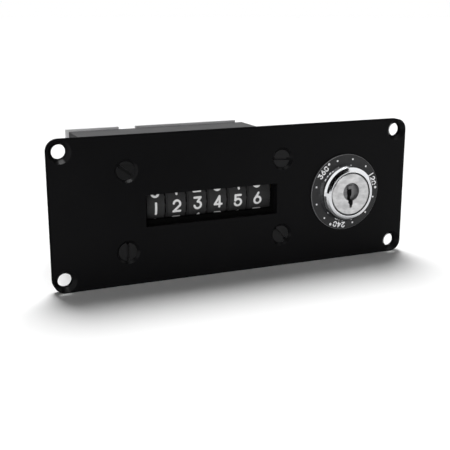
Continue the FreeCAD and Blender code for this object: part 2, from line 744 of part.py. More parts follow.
# Number wheels: the first has no locking ring, the last has a wider drum and the star wheel
for index in range(6):
    wheel = body("number_wheel_" + str(index + 1))
    place(wheel, wheel_x[index], wheel_y, wheel_z)
    bore = shaft_radius + running_gap
    last = index == 5
    drum_right = last_drum if last else wheel_half
    hub_right = last_hub if last else wheel_hub_half
    points = [(-wheel_hub_half, bore), (hub_right, bore), (hub_right, wheel_hub),
              (wheel_web_half, wheel_hub), (wheel_web_half, wheel_rim)]
    if last:
        points += [(drum_right - 0.8, wheel_rim), (drum_right - 0.8, star_inner),
                   (drum_right + star_width, star_inner), (drum_right + star_width, star_root),
                   (drum_right, star_root)]
    else:
        points += [(drum_right + ring_width, wheel_rim), (drum_right + ring_width, gear_root),
                   (drum_right, gear_root)]
    points += [(drum_right, wheel_radius), (-wheel_half, wheel_radius)]
    if index == 0:
        points += [(-wheel_half, wheel_rim)]
    else:
        points += [(-wheel_half, lock_ring), (-wheel_half - ring_width, lock_ring),
                   (-wheel_half - ring_width, wheel_rim)]
    points += [(-wheel_web_half, wheel_rim), (-wheel_web_half, wheel_hub), (-wheel_hub_half, wheel_hub)]
    drawing = sketch(wheel, "XY_Plane")
    outline(drawing, points)
    revolve(wheel, drawing, "H_Axis")
    if index > 0:
        drawing = sketch(wheel, "YZ_Plane", -wheel_half)
        outline(drawing, [(lock_ring - 1.1, -0.7), (lock_ring + 0.5, -1),
                          (lock_ring + 0.5, 1), (lock_ring - 1.1, 0.7)])
        pocket(wheel, drawing, ring_width + 0.1)
    drawing = sketch(wheel, "YZ_Plane", drum_right)
    if last:
        outline(drawing, tooth_outline(star_root - 0.3, star_tip, star_tooth_root, star_tooth_tip))
        repeat_around(wheel, pad(wheel, drawing, star_width), drawing, 10)
    else:
        outline(drawing, tooth_outline(gear_root - 0.3, gear_tip, gear_tooth_root, gear_tooth_tip))
        repeat_around(wheel, pad(wheel, drawing, ring_width), drawing, 20)

# Carry pinions on their pin, with spacers at both ends
node(rod("x", left_arm - 0.3, right_arm + frame_thickness + 0.3, pinion_pin, *carry_axis), "pinion_shaft")
pinion_bore = pinion_pin + running_gap
spacers = [ring("x", left_inner + side_play, wheel_x[0] - side_play, spacer_radius, pinion_bore, *carry_axis),
           ring("x", wheel_x[5] + side_play, right_arm - side_play, spacer_radius, pinion_bore, *carry_axis)]
node(join(spacers), "pinion_spacers")
for index in range(5):
    pinion = body("transfer_pinion_" + str(index + 1))
    place(pinion, wheel_x[index], *carry_axis)
    tooth_start = wheel_half + side_play
    tooth_end = wheel_pitch - wheel_half - ring_width - side_play
    collar_end = wheel_pitch - wheel_half - side_play
    drawing = sketch(pinion, "XY_Plane")
    outline(drawing, [(running_gap, pinion_bore), (wheel_pitch - running_gap, pinion_bore),
                      (wheel_pitch - running_gap, pinion_hub), (collar_end, pinion_hub),
                      (collar_end, pinion_root), (tooth_start, pinion_root),
                      (tooth_start, pinion_hub), (running_gap, pinion_hub)])
    revolve(pinion, drawing, "H_Axis")
    drawing = sketch(pinion, "YZ_Plane", tooth_start)
    outline(drawing, tooth_outline(pinion_root - 0.3, pinion_tip, pinion_tooth_root, pinion_tooth_tip))
    repeat_around(pinion, pad(pinion, drawing, tooth_end - tooth_start), drawing, 8)

# Count magnet
yoke_back = web_front - yoke_thickness
yoke_low = coil_z - flange_radius - side_play
yoke_left = coil_x - yoke_half
yoke_right = coil_x + yoke_half
plate = box(yoke_left, yoke_right, yoke_back, web_front, yoke_low - yoke_thickness, yoke_top)
leg = box(yoke_left, yoke_right, armature_face, yoke_back + 0.5, yoke_low - yoke_thickness, yoke_low)
yoke_holes = [rod("y", yoke_back - 1, web_front + 1, core_neck + 0.02, coil_x, coil_z)]
for x, z in yoke_screw_places:
    yoke_holes.append(rod("y", yoke_back - 1, web_front + 1, yoke_screw + running_gap, x, z))
node(cut(join([plate, leg]), yoke_holes), "magnet_yoke")
node(join([rod("y", core_face, yoke_back, core_radius, coil_x, coil_z),
           rod("y", yoke_back - 0.5, web_front, core_neck, coil_x, coil_z)]), "magnet_core")
bobbin_front = core_face + 1
tube_radius = core_radius + 1
flanges = [rod("y", bobbin_front, bobbin_front + flange_width, flange_radius, coil_x, coil_z),
           rod("y", yoke_back - flange_width, yoke_back, flange_radius, coil_x, coil_z)]
tube = rod("y", bobbin_front, yoke_back, tube_radius, coil_x, coil_z)
core_hole = rod("y", bobbin_front - 1, yoke_back + 1, core_radius + running_gap, coil_x, coil_z)
node(cut(join(flanges + [tube]), [core_hole]), "coil_bobbin")
node(ring("y", bobbin_front + flange_width + running_gap, yoke_back - flange_width - running_gap,
          flange_radius - 0.4, tube_radius + running_gap, coil_x, coil_z), "coil_winding")
screws = []
for at in yoke_screw_places:
    screws.append(join([rod("y", yoke_back - 1.3, yoke_back, yoke_screw_head, *at),
                        rod("y", yoke_back - 0.5, case_depth - 0.1, yoke_screw, *at)]))
node(join(screws), "yoke_screws")

# Armature, its verge over the star wheel, its pin and its spring
pivot = (pivot_y, pivot_z)
hub_left = wheel_x[5] + 1.35
verge_left = wheel_x[5] + last_drum + 0.15
verge_right = verge_left + verge_width
hub = rod("x", hub_left, verge_left, armature_hub, *pivot)
link = box(hub_left, hub_left + 3, pivot_y, armature_face + armature_thickness, pivot_z - 1.1, pivot_z + 1.1)
bar = box(yoke_left, hub_left + 3, armature_face, armature_face + armature_thickness,
          pivot_z - 3, pivot_z + 1.1)
blade = box(yoke_left, yoke_right, armature_face, armature_face + armature_thickness,
            yoke_low + 0.3, pivot_z - 2.5)
pivot_bore = rod("x", hub_left - 1, verge_right + 1, pivot_radius + running_gap, *pivot)
node(cut(join([hub, link, bar, blade]), [pivot_bore]), "armature")
fingers = []
for angle in (160.7, 244):
    finger = doc.addObject("Part::Box", "Finger")
    drive(finger, "Length", verge_width)
    drive(finger, "Width", finger_length)
    drive(finger, "Height", finger_height)
    turn = Rotation(DIRECTIONS["x"], angle)
    corner = turn.multVec(Vector(0, 0, -finger_height.number / 2))
    finger.Placement = Placement(Vector(verge_left.number, pivot_y.number, pivot_z.number) + corner, turn)
    fingers.append(finger)
verge_blank = join([rod("x", verge_left, verge_right, armature_hub, *pivot)] + fingers)
verge_bore = rod("x", verge_left - 1, verge_right + 1, pivot_radius + running_gap, *pivot)
star_room = rod("x", verge_left - 1, verge_right + 1, star_tip + 0.9, *axle)
node(cut(verge_blank, [verge_bore, star_room]), "verge")
arm_outside = right_arm + frame_thickness
node(join([rod("x", hub_left - 0.2, arm_outside, pivot_radius, *pivot),
           rod("x", arm_outside, arm_outside + pin_head_width, pin_head, *pivot),
           rod("x", hub_left - 0.9, hub_left - 0.2, pin_head, *pivot)]), "armature_pin")
turns = []
for index in range(3):
    turn_left = verge_right + 0.3 + spring_pitch * index
    turns.append(ring("x", turn_left, turn_left + 2 * spring_wire, spring_radius + spring_wire,
                      spring_radius - spring_wire, *pivot))
foot = rod("x", verge_right + 0.4, right_arm, spring_wire, pivot_y, pivot_z - spring_radius)
node(join(turns + [foot]), "armature_spring")

# Terminal block and its two blades
block = join([box(block_left, block_right, web_front - 3, cover_back + 0.5, block_low, block_high),
              box(block_left - block_rim, block_right + block_rim, cover_back, cover_back + 2,
                  block_low - block_rim, block_high + block_rim)])
blade_x = (block_left + 2.2, block_right - 3)
blade_low = block_low + 1
blade_high = block_high - 1
slots = [box(x - 0.03, x + terminal_thickness + 0.03, web_front - 5, cover_back + 4,
             blade_low - 0.03, blade_high + 0.03) for x in blade_x]
node(cut(block, slots), "terminal_block")
blades = []
for x in blade_x:
    blade_end = cover_back + terminal_length
    hole = rod("x", x - 1, x + 2, terminal_hole, blade_end - 3, (block_low + block_high) / 2)
    blade = box(x, x + terminal_thickness, web_front - 6, blade_end, blade_low, blade_high)
    blades.append(cut(blade, [hole]))
node(join(blades), "coil_terminals")

doc.recompute()
for thing in doc.Objects:
    if "Invalid" in thing.State or "Error" in thing.State:
        raise RuntimeError("not built: " + thing.Label + " " + str(thing.State))
    if hasattr(thing, "Shape") and thing.TypeId != "App::Plane" and thing in nodes:
        if thing.Shape.isNull() or not thing.Shape.isValid():
            raise RuntimeError("bad shape: " + thing.Label)

os.makedirs("parts", exist_ok=True)
for thing in nodes:
    thing.Shape.exportStep("parts/" + thing.Label + ".step")
print(len(nodes), "nodes written")
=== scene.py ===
import math

import bmesh
import bpy
from mathutils import Matrix, Vector


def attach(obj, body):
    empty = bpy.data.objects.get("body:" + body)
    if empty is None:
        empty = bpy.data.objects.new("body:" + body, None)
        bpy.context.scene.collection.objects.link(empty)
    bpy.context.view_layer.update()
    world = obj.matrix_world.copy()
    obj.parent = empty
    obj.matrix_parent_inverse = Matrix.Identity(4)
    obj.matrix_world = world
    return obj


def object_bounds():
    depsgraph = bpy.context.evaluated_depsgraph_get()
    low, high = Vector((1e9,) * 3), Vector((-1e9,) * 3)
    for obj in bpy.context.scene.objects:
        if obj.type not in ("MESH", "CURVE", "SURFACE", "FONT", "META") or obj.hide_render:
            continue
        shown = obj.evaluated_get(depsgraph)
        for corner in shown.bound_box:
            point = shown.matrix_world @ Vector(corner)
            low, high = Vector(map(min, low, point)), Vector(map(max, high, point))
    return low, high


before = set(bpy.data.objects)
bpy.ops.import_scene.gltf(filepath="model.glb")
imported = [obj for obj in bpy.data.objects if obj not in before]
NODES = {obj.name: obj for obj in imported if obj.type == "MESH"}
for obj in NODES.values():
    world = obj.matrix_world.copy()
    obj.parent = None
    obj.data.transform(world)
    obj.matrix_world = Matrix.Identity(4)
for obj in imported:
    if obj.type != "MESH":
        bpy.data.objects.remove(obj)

bl_info = {
    "name": "Panel counter",
    "version": (1, 0, 0),
    "blender": (4, 5, 0),
    "location": "View3D > Sidebar > Counter",
    "description": "Dresses the panel counter: plate, number wheels, key lock, case and mechanism",
    "category": "Object",
}

CAD_BOX = [list(corner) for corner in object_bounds()]
WHEEL_PITCH = 0.00754
WHEEL_FIRST = -0.02955
WHEEL_AXIS = (0.0111, -0.0002)
WHEEL_RADIUS = 0.0095
LOCK_X = 0.0406
DIAL_FACE = -0.0038
DIAL_STEPS = 12
FIRST_MARK = 13
DIAL_LABELS = {2: "120o", 6: "240o", 10: "360o"}
LABEL_MIDDLE = 1.35
MARK_RADIUS = 0.01215
LABEL_ADVANCE = 0.00175
DOT_RADIUS = 0.00034
PRINT_LIFT = 0.00001
DIAL_PRINT = 0.00002
CORNER_HOLE = (0.062, 0.021)
CORNER_SUNK = 0.00375
SCREW_X = (-0.0408, 0.01545)
SCREW_Z = 0.0136
SCREW_SUNK = 0.00405
OUTLINE = (0.0595, 0.0245)
FACING_FRONT = 0.95
BORE_RADIUS = 0.00805
KEYHOLE_REACH = 0.0045
KEYHOLE_DEPTH = (-0.0077, -0.001)

# How far each wheel stands off its figure in the window, along the drum, in metres.
FIGURE_DRIFT = (-0.0008, -0.00045, -0.0001, -0.00035, -0.0006, -0.0004)
FIGURE_GRID = 4
FIGURE_REACH = 4.9
WHEEL_PRINT = 0.00004
WHEEL_LIFT = 0.00002

CAMERA_PLACE = (-0.1159, -0.2586, 0.0651)
KEY_HEADING = (-0.13, -0.47, -0.87)
KEY_SPREAD = 0.6
FILL_HEADING = (0.5, 0.85, -0.03)
FILL_SPREAD = 0.4
FLOOR_RADIUS = 6.0

# The black card darkens the bezel's dome, and the bright one glints in the screw recesses.
DOME_CARD_FROM_LOCK = (-0.31, -0.75, 0.58)
DOME_CARD_AWAY = 0.08
DOME_CARD_ALONG = (0.75, 0.17, 0.63)
DOME_CARD_HALF = (0.09, 0.07)
GLINT_CARD_PLACE = (-0.06, -0.09, 0.4)
GLINT_CARD_FACING = (-0.2, -0.22, 0.95)
GLINT_CARD_ALONG = (1, 0, 0.2)
GLINT_CARD_HALF = (0.13, 0.05)

# Strokes of the figures, on a grid where a figure is 2.6 wide and 4 high between stroke centres.
# An arc is (centre across, centre up, radius, first angle, last angle) in degrees.
STRAIGHT = {
    "0": [],
    "1": [[(0.1, -2), (0.1, 2)]],
    "2": [[(1.02, 0.08), (-1.3, -2), (1.3, -2)]],
    "3": [[(-1.2, 2), (1.2, 2), (-0.05, 0.5)]],
    "4": [[(0.6, -2), (0.6, 2), (-1.35, -0.95), (1.4, -0.95)]],
    "5": [[(1.15, 2), (-0.95, 2), (-1.12, 0.1)]],
    "6": [[(-1.05, -0.05), (0.45, 2)]],
    "7": [[(-1.25, 2), (1.25, 2), (-0.35, -2)]],
    "8": [],
    "9": [[(1.05, 0.05), (-0.45, -2)]],
    "o": [],
}
ROUND = {
    "0": [(0, 0.72, 1.28, 0, 180), (0, -0.72, 1.28, 180, 360)],
    "2": [(0, 0.76, 1.24, -35, 170)],
    "3": [(0, -0.76, 1.26, 92, -170)],
    "5": [(0, -0.7, 1.3, 145, -165)],
    "6": [(0, -0.74, 1.27, 0, 360)],
    "8": [(0, 1.0, 1.0, 0, 360), (0, -0.82, 1.2, 0, 360)],
    "9": [(0, 0.74, 1.27, 0, 360)],
    "o": [(0, 1.45, 0.62, 0, 360)],
}


def colour_property(name, colour, described):
    """A colour that the sidebar can change."""
    return bpy.props.FloatVectorProperty(name=name, description=described, subtype="COLOR",
                                         size=4, min=0, max=1, default=colour + (1,))


class PlateLook(bpy.types.PropertyGroup):
    """Colours of the plate and of the dial ring"""
    black: colour_property("Anodised black", (0.0055, 0.0055, 0.0059), "Colour of the anodised plate")
    screw: colour_property("Screw black", (0.010, 0.010, 0.0104), "Colour of the blackened screws")
    dial: colour_property("Dial black", (0.02, 0.02, 0.021), "Colour of the dial ring")
    # The rim colour is a painted highlight, lighter than the ring, for its sloping edge faces.
    rim_highlight: colour_property("Dial rim", (0.16, 0.16, 0.165), "Colour painted on the dial ring's edge as a highlight")
    print_white: colour_property("Print", (0.8, 0.8, 0.81), "Colour of the marks on the dial")
    mark_height: bpy.props.FloatProperty(
        name="Mark height", description="Height of the dial's figures", unit="LENGTH",
        min=0.0005, max=0.003, default=0.0021)


class WheelLook(bpy.types.PropertyGroup):
    """Colours and sizes of the number wheels' print"""
    drum: colour_property("Drum", (0.022, 0.022, 0.0225), "Colour of the number wheels")
    figure: colour_property("Figure", (0.8, 0.8, 0.8), "Colour of the figures")
    figure_height: bpy.props.FloatProperty(
        name="Figure height", description="Height of a figure over its stroke centres", unit="LENGTH",
        min=0.001, max=0.006, default=0.00375)
    stroke: bpy.props.FloatProperty(
        name="Stroke", description="Width of a figure's stroke", unit="LENGTH",
        min=0.0002, max=0.002, default=0.00078)


class LockLook(bpy.types.PropertyGroup):
    """Colours of the lock"""
    chrome: colour_property("Chrome", (0.83, 0.84, 0.86), "Colour of the bezel's plating")
    plug: colour_property("Plug", (0.64, 0.64, 0.645), "Colour of the brushed plug")
    # Painted shade: the keyhole colour darkens the plug's recess and keyway, where shade falls.
    keyhole_shade: colour_property("Keyhole", (0.2, 0.2, 0.205), "Colour inside the keyhole")
    # Painted shade: near black on the barrel's bore walls, for the shadowed gap round the plug.
    bore_shade: colour_property("Bore", (0.01, 0.01, 0.01), "Colour of the gap round the plug")


class CaseLook(bpy.types.PropertyGroup):
    """Colours of the case and its cover"""
    case: colour_property("Case", (0.05, 0.05, 0.0515), "Colour of the case's plastic")
    cover: colour_property("Cover", (0.6, 0.6, 0.61), "Colour of the rear cover")


class InsideLook(bpy.types.PropertyGroup):
    """Colours of the small metal parts and of the mechanism"""
    brass: colour_property("Brass", (0.62, 0.44, 0.17), "Colour of the gears, bushes and terminals")
    plated: colour_property("Plated steel", (0.46, 0.46, 0.47), "Colour of nuts, pins, shafts and frame")
    # The wafers are steel; their near-black colour also stands in for the shade in the keyway (painted
    # shade).
    wafer: colour_property("Wafer steel", (0.06, 0.06, 0.06), "Colour of the lock's wafers")
    moulded: colour_property("Moulded black", (0.018, 0.018, 0.018), "Colour of the terminal block")
    flocked: colour_property("Flocked black", (0.002, 0.002, 0.002), "Colour of the frame behind the window")
    iron: colour_property("Soft iron", (0.33, 0.33, 0.34), "Colour of the count magnet")
    natural: colour_property("Natural plastic", (0.66, 0.65, 0.6), "Colour of the bobbin and the pinions")
    wire: colour_property("Enamelled wire", (0.42, 0.13, 0.04), "Colour of the coil's winding")


class StageLook(bpy.types.PropertyGroup):
    """Camera and lights"""
    lens: bpy.props.FloatProperty(
        name="Lens", description="Focal length in millimetres", min=20, max=200, default=67.0)
    turn: bpy.props.FloatProperty(
        name="Turn", description="How far the camera looks to the right", subtype="ANGLE",
        default=math.radians(23.21))
    tilt: bpy.props.FloatProperty(
        name="Tilt", description="How far the camera looks down", subtype="ANGLE",
        default=math.radians(14.7))
    sky: bpy.props.FloatProperty(
        name="Sky", description="Strength of the light from all sides", min=0, max=3, default=0.11)
    key: bpy.props.FloatProperty(
        name="Key", description="Strength of the light from above and behind", min=0, max=10, default=3.45)
    fill: bpy.props.FloatProperty(
        name="Fill", description="Strength of the light from the front", min=0, max=10, default=2.4)
    glint: bpy.props.FloatProperty(
        name="Glint", description="Strength of the card that glints in the screw recesses", min=0, max=50,
        default=14)


# Node groups

def new_group(name, inputs, outputs):
    """An empty shader node group with named sockets."""
    group = bpy.data.node_groups.new(name, "ShaderNodeTree")
    for label, kind, value in inputs:
        socket = group.interface.new_socket(label, in_out="INPUT", socket_type=kind)
        socket.default_value = value
    for label, kind in outputs:
        group.interface.new_socket(label, in_out="OUTPUT", socket_type=kind)
    entry = group.nodes.new("NodeGroupInput")
    leave = group.nodes.new("NodeGroupOutput")
    return group, entry, leave


def math_node(tree, operation, first, second):
    """One sum of two values or sockets."""
    node = tree.nodes.new("ShaderNodeMath")
    node.operation = operation
    for socket, value in zip(node.inputs, (first, second)):
        if isinstance(value, (int, float)):
            socket.default_value = value
        else:
            tree.links.new(value, socket)
    return node.outputs[0]


def noise_node(tree, where, scale, detail):
    """Noise at a place, at a scale that comes from a socket."""
    node = tree.nodes.new("ShaderNodeTexNoise")
    tree.links.new(where, node.inputs["Vector"])
    tree.links.new(scale, node.inputs["Scale"])
    node.inputs["Detail"].default_value = detail
    return node.outputs["Fac"]


def tint(tree, colour, amount, mask):
    """Colour made darker and lighter by a mask round 0.5."""
    swing = math_node(tree, "SUBTRACT", mask, 0.5)
    gain = math_node(tree, "MULTIPLY_ADD", swing, amount)
    gain.node.inputs[2].default_value = 1.0
    scale = tree.nodes.new("ShaderNodeVectorMath")
    scale.operation = "SCALE"
    tree.links.new(colour, scale.inputs[0])
    tree.links.new(gain, scale.inputs["Scale"])
    return scale.outputs[0]


def grain_group():
    """Fine even grain with slow patches, for moulded plastic, paint and anodising."""
    tree, entry, leave = new_group(
        "Grain",
        [("Colour", "NodeSocketColor", (0.5, 0.5, 0.5, 1)), ("Amount", "NodeSocketFloat", 0.3),
         ("Grain Scale", "NodeSocketFloat", 4000.0), ("Patch Scale", "NodeSocketFloat", 60.0),
         ("Roughness", "NodeSocketFloat", 0.5)],
        [("Colour", "NodeSocketColor"), ("Roughness", "NodeSocketFloat"), ("Height", "NodeSocketFloat")])
    where = tree.nodes.new("ShaderNodeTexCoord").outputs["Object"]
    fine = noise_node(tree, where, entry.outputs["Grain Scale"], 2.0)
    slow = noise_node(tree, where, entry.outputs["Patch Scale"], 3.0)
    mask = math_node(tree, "MULTIPLY", math_node(tree, "ADD", fine, slow), 0.5)
    tree.links.new(tint(tree, entry.outputs["Colour"], entry.outputs["Amount"], mask), leave.inputs["Colour"])
    swing = math_node(tree, "MULTIPLY", math_node(tree, "SUBTRACT", slow, 0.5), 0.25)
    tree.links.new(math_node(tree, "ADD", swing, entry.outputs["Roughness"]), leave.inputs["Roughness"])
    tree.links.new(fine, leave.inputs["Height"])
    return tree


def brush_group():
    """Long thin lines along one direction, for brushed and turned metal."""
    tree, entry, leave = new_group(
        "Brushed lines",
        [("Colour", "NodeSocketColor", (0.5, 0.5, 0.5, 1)), ("Amount", "NodeSocketFloat", 0.3),
         ("Stretch", "NodeSocketVector", (60.0, 3000.0, 3000.0)), ("Roughness", "NodeSocketFloat", 0.35)],
        [("Colour", "NodeSocketColor"), ("Roughness", "NodeSocketFloat"), ("Height", "NodeSocketFloat")])
    where = tree.nodes.new("ShaderNodeTexCoord").outputs["Object"]
    stretch = tree.nodes.new("ShaderNodeVectorMath")
    stretch.operation = "MULTIPLY"
    tree.links.new(where, stretch.inputs[0])
    tree.links.new(entry.outputs["Stretch"], stretch.inputs[1])
    lines = tree.nodes.new("ShaderNodeTexNoise")
    lines.inputs["Scale"].default_value = 1.0
    lines.inputs["Detail"].default_value = 3.0
    tree.links.new(stretch.outputs[0], lines.inputs["Vector"])
    mask = lines.outputs["Fac"]
    tree.links.new(tint(tree, entry.outputs["Colour"], entry.outputs["Amount"], mask), leave.inputs["Colour"])
    swing = math_node(tree, "MULTIPLY", math_node(tree, "SUBTRACT", mask, 0.5), 0.3)
    tree.links.new(math_node(tree, "ADD", swing, entry.outputs["Roughness"]), leave.inputs["Roughness"])
    tree.links.new(mask, leave.inputs["Height"])
    return tree


def group_named(name):
    """One of the two effect groups, made when it is first asked for."""
    made = bpy.data.node_groups.get(name)
    if made:
        return made
    return grain_group() if name == "Grain" else brush_group()


def finish_material(name, group, colour, metallic=0.0, specular=0.5, coat=0.0, bump=0.1, depth=0.00002,
                    rounding=0.0, **values):
    """A Principled material whose colour, roughness and bump come from one of the groups."""
    material = bpy.data.materials.new(name)
    material.use_nodes = True
    tree = material.node_tree
    shader = tree.nodes["Principled BSDF"]
    effect = tree.nodes.new("ShaderNodeGroup")
    effect.node_tree = group_named(group)
    effect.inputs["Colour"].default_value = tuple(colour)
    for label, value in values.items():
        effect.inputs[label.replace("_", " ").title()].default_value = value
    tree.links.new(effect.outputs["Colour"], shader.inputs["Base Color"])
    tree.links.new(effect.outputs["Roughness"], shader.inputs["Roughness"])
    relief = tree.nodes.new("ShaderNodeBump")
    relief.inputs["Strength"].default_value = bump
    relief.inputs["Distance"].default_value = depth
    tree.links.new(effect.outputs["Height"], relief.inputs["Height"])
    if rounding:
        soft_edge = tree.nodes.new("ShaderNodeBevel")
        soft_edge.inputs["Radius"].default_value = rounding
        tree.links.new(soft_edge.outputs["Normal"], relief.inputs["Normal"])
    tree.links.new(relief.outputs["Normal"], shader.inputs["Normal"])
    shader.inputs["Metallic"].default_value = metallic
    shader.inputs["Specular IOR Level"].default_value = specular
    shader.inputs["Coat Weight"].default_value = coat
    return material


def dress(material, *names):
    """Give CAD nodes one material and smooth shading that keeps their sharp edges."""
    for name in names:
        node = NODES[name]
        node.data.materials.clear()
        node.data.materials.append(material)
        node.data.shade_smooth()
        node.data.set_sharp_from_angle(angle=math.radians(32))


def dress_faces(name, material, wanted):
    """Give the faces of a CAD node whose place and normal pass a test a second material."""
    node = NODES[name]
    node.data.materials.append(material)
    place = node.matrix_world
    turn = place.to_3x3()
    for face in node.data.polygons:
        if wanted(place @ face.center, (turn @ face.normal).normalized()):
            face.material_index = len(node.data.materials) - 1


def slopes(place, normal):
    """Whether a face looks forward at a slant, as countersinks and chamfers do."""
    return 0.3 < -normal.y < FACING_FRONT


# Figures and marks

def figure_paths(figure):
    """Stroke centre lines of one figure as lists of points."""
    paths = [list(path) for path in STRAIGHT.get(figure, [])]
    for across, up, radius, first, last in ROUND.get(figure, []):
        steps = max(6, int(abs(last - first) / 9))
        arc = []
        for step in range(steps + 1):
            angle = math.radians(first + (last - first) * step / steps)
            arc.append((across + radius * math.cos(angle), up + radius * math.sin(angle)))
        paths.append(arc)
    return paths


def gap_to_strokes(point, paths):
    """Distance from a point to the nearest stroke centre line."""
    best = 1e9
    for path in paths:
        for (ax, ay), (bx, by) in zip(path, path[1:]):
            run_x, run_y = bx - ax, by - ay
            along = ((point[0] - ax) * run_x + (point[1] - ay) * run_y) / (run_x * run_x + run_y * run_y)
            along = min(1.0, max(0.0, along))
            best = min(best, math.hypot(point[0] - ax - along * run_x, point[1] - ay - along * run_y))
    return best


FLAT_FIGURES = {}


def flat_figure(figure, half_stroke):
    """Points and faces of one figure, filled by walking a grid round its strokes."""
    key = (figure, round(half_stroke, 4))
    if key in FLAT_FIGURES:
        return FLAT_FIGURES[key]
    paths = figure_paths(figure)
    cell = 0.13
    low_x, low_y = -2.3, -3.0
    columns, rows = 36, 47
    field = [[gap_to_strokes((low_x + i * cell, low_y + j * cell), paths) - half_stroke
              for i in range(columns + 1)] for j in range(rows + 1)]
    points, index, faces = [], {}, []

    def point_at(kind, i, j):
        if (kind, i, j) not in index:
            x, y = low_x + i * cell, low_y + j * cell
            if kind == "across":
                x += cell * field[j][i] / (field[j][i] - field[j][i + 1])
            elif kind == "up":
                y += cell * field[j][i] / (field[j][i] - field[j + 1][i])
            index[(kind, i, j)] = len(points)
            points.append((x, y))
        return index[(kind, i, j)]

    for j in range(rows):
        for i in range(columns):
            corners = [(i, j), (i + 1, j), (i + 1, j + 1), (i, j + 1)]
            edges = [("across", i, j), ("up", i + 1, j), ("across", i, j + 1), ("up", i, j)]
            face = []
            for step in range(4):
                here, there = corners[step], corners[(step + 1) % 4]
                inside = field[here[1]][here[0]] < 0
                if inside:
                    face.append(point_at("corner", *here))
                if inside != (field[there[1]][there[0]] < 0):
                    face.append(point_at(*edges[step]))
            if len(face) > 2:
                faces.append(face)
    FLAT_FIGURES[key] = (points, faces)
    return FLAT_FIGURES[key]


def piece_from(name, points, faces, material, body, thickness):
    """A mesh piece with a little thickness, riding on a body."""
    mesh = bpy.data.meshes.new(name)
    mesh.from_pydata(points, [], faces)
    shaped = bmesh.new()
    shaped.from_mesh(mesh)
    bmesh.ops.remove_doubles(shaped, verts=shaped.verts, dist=1e-7)
    shaped.to_mesh(mesh)
    shaped.free()
    mesh.materials.append(material)
    piece = bpy.data.objects.new(name, mesh)
    bpy.context.scene.collection.objects.link(piece)
    solid = piece.modifiers.new("Thickness", "SOLIDIFY")
    solid.thickness = thickness
    solid.offset = -1
    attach(piece, body)
    return piece


class COUNTER_OT_plate(bpy.types.Operator):
    """Finish the face plate, its screws and the dial ring"""
    bl_idname = "counter.plate"
    bl_label = "Plate"

    def execute(self, context):
        look = context.scene.counter_plate
        dress(finish_material("Anodised plate", "Grain", look.black, specular=0.045, amount=0.5,
                              grain_scale=5200.0, patch_scale=45.0, roughness=0.4, bump=0.3,
                              rounding=0.00015), "faceplate")
        dress_faces("faceplate", finish_material("Countersink", "Grain", look.black, specular=0.09,
                                                 amount=0.4, roughness=0.22, bump=0.1), self.in_countersink)
        dress_faces("faceplate", finish_material("Plate edge", "Grain", look.black, specular=0.0,
                                                 amount=0.4, roughness=0.6, bump=0.1), self.at_outline)
        dress(finish_material("Blackened screw", "Brushed lines", look.screw, specular=0.16, amount=0.8,
                              roughness=0.34, bump=0.3, rounding=0.0001), "counter_screws")
        dress(finish_material("Dial ring", "Grain", look.dial, specular=0.3, amount=1.2,
                              grain_scale=2600.0, patch_scale=420.0, roughness=0.4, bump=0.4), "dial_ring")
        # Painted highlight: the dial ring's sloping edge faces take the lighter rim colour.
        dress_faces("dial_ring", finish_material("Dial edge highlight", "Grain", look.rim_highlight, amount=0.5, roughness=0.4),
                    slopes)
        return {"FINISHED"}

    def at_outline(self, place, normal):
        """Whether a face belongs to the plate's outer edge or to a corner hole's wall."""
        at_edge = abs(place.x) > OUTLINE[0] or abs(place.z) > OUTLINE[1]
        return abs(normal.y) < FACING_FRONT and at_edge and not self.in_countersink(place, normal)

    def in_countersink(self, place, normal):
        """Whether a sloping face of the plate is in a corner hole's or a screw's countersink."""
        across, up = abs(place.x), abs(place.z)
        at_corner = math.hypot(across - CORNER_HOLE[0], up - CORNER_HOLE[1]) < CORNER_SUNK
        at_screw = min(math.hypot(place.x - side, up - SCREW_Z) for side in SCREW_X) < SCREW_SUNK
        return slopes(place, normal) and (at_corner or at_screw)


class COUNTER_OT_dial_marks(bpy.types.Operator):
    """Print the dots and degree figures on the dial ring"""
    bl_idname = "counter.dial_marks"
    bl_label = "Dial marks"

    def execute(self, context):
        look = context.scene.counter_plate
        ink = finish_material("Dial print", "Grain", look.print_white, specular=0.3, amount=0.25,
                              grain_scale=5000.0, patch_scale=300.0, roughness=0.55)
        scale = look.mark_height / FIGURE_REACH
        points, faces = [], []

        def add(flat, clockwise, shrink):
            start = len(points)
            right = Vector((math.cos(clockwise), 0, -math.sin(clockwise)))
            out = Vector((math.sin(clockwise), 0, math.cos(clockwise)))
            centre = Vector((LOCK_X, DIAL_FACE - PRINT_LIFT, WHEEL_AXIS[1])) + out * MARK_RADIUS
            for across, up in flat[0]:
                points.append(centre + right * across * shrink + out * up * shrink)
            for face in flat[1]:
                faces.append([start + corner for corner in face])

        dot_points = [(math.cos(math.tau * step / 20), math.sin(math.tau * step / 20)) for step in range(20)]
        dot = (dot_points, [list(range(20))])
        for step in range(DIAL_STEPS):
            clockwise = math.radians(FIRST_MARK + 360 / DIAL_STEPS * step)
            if step not in DIAL_LABELS:
                add(dot, clockwise, DOT_RADIUS)
                continue
            for place, figure in enumerate(DIAL_LABELS[step]):
                shift = (place - LABEL_MIDDLE) * LABEL_ADVANCE / MARK_RADIUS
                add(flat_figure(figure, 0.5), clockwise + shift, scale)
        piece = piece_from("dial_marks", points, faces, ink, "counter", DIAL_PRINT)
        return {"FINISHED"}


